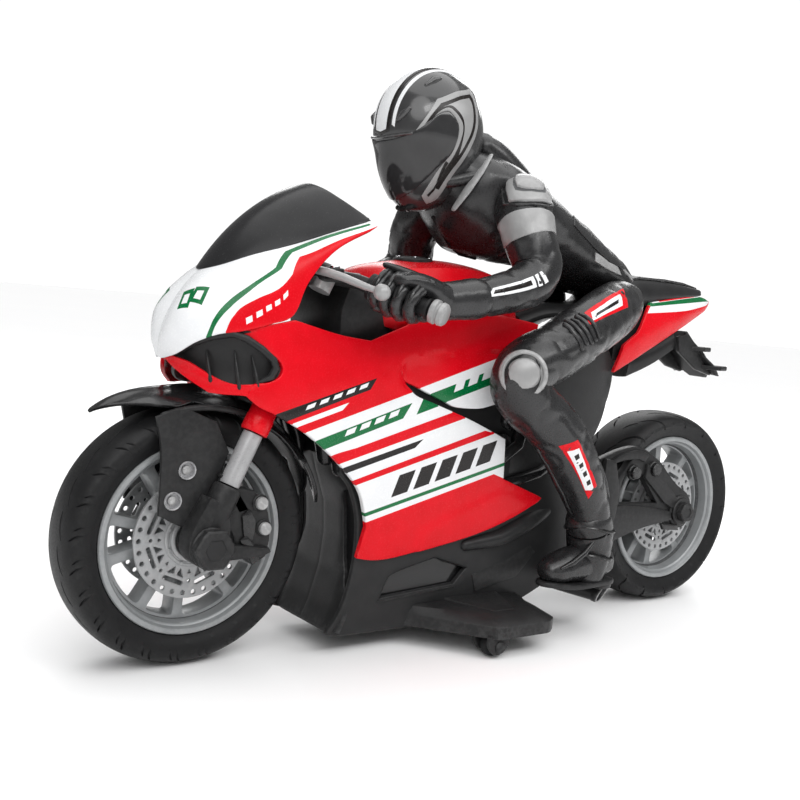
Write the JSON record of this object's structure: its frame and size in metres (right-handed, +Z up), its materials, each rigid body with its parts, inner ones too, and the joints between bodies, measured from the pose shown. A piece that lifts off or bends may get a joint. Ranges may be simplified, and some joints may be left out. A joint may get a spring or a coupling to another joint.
{
  "type": "rc motorcycle",
  "caption": "Remote-controlled sport motorcycle toy with full fairings, a crouched rider figure, steerable fork, geared rear-wheel drive and side stabiliser rollers.",
  "frame": {"origin": "centre of the bounding box on the ground plane that both tyres and both rollers stand on", "axes": "+X forward, +Y to the rider's left, +Z up; the object mirrors about y = 0 apart from its gear case and rear disc"},
  "size_m": [0.2206, 0.0746, 0.1467],
  "materials": {
    "gloss_red": "glossy injection-moulded red with printed white, green and black bands",
    "satin_black": "satin black moulded plastic",
    "rider_suit": "black figure plastic with a leather-like sheen",
    "smoked_plastic": "dark smoked glossy plastic",
    "tyre_rubber": "matt rubber with moulded grooves",
    "silver_plastic": "silver-painted plastic",
    "steel": "brushed steel",
    "circuit_green": "green solder mask",
    "battery_wrap": "green shrink wrap",
    "nylon": "natural nylon"
  },
  "bodies": {
    "frame": {"nose_cowl": "gloss_red", "fuel_tank_cover": "gloss_red", "tail_cowl": "gloss_red", "side_fairing_left": "gloss_red", "side_fairing_right": "gloss_red", "battery_door": "satin_black", "swingarm_left": "satin_black", "swingarm_right": "satin_black", "gear_cover": "satin_black", "steering_servo": "satin_black", "intake_panel": "satin_black", "seat": "satin_black", "plate_holder": "satin_black", "handlebar": "satin_black", "chassis_half_left": "satin_black", "chassis_half_right": "satin_black", "stabiliser_wing_left": "satin_black", "stabiliser_wing_right": "satin_black", "exhaust_outlet_left": "satin_black", "exhaust_outlet_right": "satin_black", "rider_torso": "rider_suit", "rider_helmet": "rider_suit", "rider_arm_left": "rider_suit", "rider_arm_right": "rider_suit", "rider_leg_left": "rider_suit", "rider_leg_right": "rider_suit", "windscreen": "smoked_plastic", "rider_visor": "smoked_plastic", "bar_end_left": "silver_plastic", "bar_end_right": "silver_plastic", "knee_pad_left": "silver_plastic", "knee_pad_right": "silver_plastic", "drive_motor": "steel", "circuit_board": "circuit_green", "battery": "battery_wrap"},
    "steering": {"fork_crown": "satin_black", "front_axle": "steel", "front_fender": "satin_black", "fork_sleeve_left": "gloss_red", "fork_sleeve_right": "gloss_red", "fork_stanchion_left": "silver_plastic", "fork_stanchion_right": "silver_plastic", "fork_lower_left": "satin_black", "fork_lower_right": "satin_black"},
    "front_wheel": {"front_tyre": "tyre_rubber", "front_rim": "silver_plastic", "front_brake_disc_left": "steel", "front_brake_disc_right": "steel"},
    "rear_wheel": {"rear_tyre": "tyre_rubber", "rear_rim": "silver_plastic", "rear_brake_disc": "steel", "rear_axle": "steel", "wheel_gear": "nylon"},
    "idler_rear": {"idler_gear_rear": "nylon"},
    "idler_front": {"idler_gear_front": "nylon"},
    "pinion": {"motor_pinion": "steel"},
    "servo_gear": {"servo_pinion": "nylon"},
    "roller_left": {"stabiliser_roller_left": "satin_black"},
    "roller_right": {"stabiliser_roller_right": "satin_black"},
    "switch": {"power_switch": "satin_black"}
  },
  "joints": [
    {"name": "steer", "type": "hinge", "parent": "frame", "child": "steering", "pos_m": [0.0619, 0, 0.066], "axis": [-0.4067, 0, 0.9135], "range_deg": [-20, 20]},
    {"name": "servo_gear_spin", "type": "hinge", "parent": "frame", "child": "servo_gear", "pos_m": [0.05016, 0, 0.06077], "axis": [-0.4067, 0, 0.9135], "range_deg": [-48, 48]},
    {"name": "front_wheel_spin", "type": "hinge", "parent": "steering", "child": "front_wheel", "pos_m": [0.0803, 0, 0.03], "axis": [0, 1, 0], "continuous": true},
    {"name": "rear_wheel_spin", "type": "hinge", "parent": "frame", "child": "rear_wheel", "pos_m": [-0.0807, 0, 0.0296], "axis": [0, 1, 0], "continuous": true},
    {"name": "idler_rear_spin", "type": "hinge", "parent": "frame", "child": "idler_rear", "pos_m": [-0.06593, 0, 0.03266], "axis": [0, 1, 0], "continuous": true},
    {"name": "idler_front_spin", "type": "hinge", "parent": "frame", "child": "idler_front", "pos_m": [-0.05058, 0, 0.03584], "axis": [0, 1, 0], "continuous": true},
    {"name": "pinion_spin", "type": "hinge", "parent": "frame", "child": "pinion", "pos_m": [-0.03993, 0, 0.03804], "axis": [0, 1, 0], "continuous": true},
    {"name": "roller_left_spin", "type": "hinge", "parent": "frame", "child": "roller_left", "pos_m": [0.006, 0.0282, 0.003], "axis": [0, 1, 0], "continuous": true},
    {"name": "roller_right_spin", "type": "hinge", "parent": "frame", "child": "roller_right", "pos_m": [0.006, -0.0282, 0.003], "axis": [0, 1, 0], "continuous": true},
    {"name": "switch_slide", "type": "slide", "parent": "frame", "child": "switch", "axis": [1, 0, 0], "range_m": [0, 0.0044]}
  ],
  "couplings": [
    {"joint": "servo_gear_spin", "follows": "steer", "ratio": -2.4},
    {"joint": "idler_rear_spin", "follows": "rear_wheel_spin", "ratio": -0.92308},
    {"joint": "idler_front_spin", "follows": "rear_wheel_spin", "ratio": 0.92308},
    {"joint": "pinion_spin", "follows": "rear_wheel_spin", "ratio": -2.4}
  ]
}
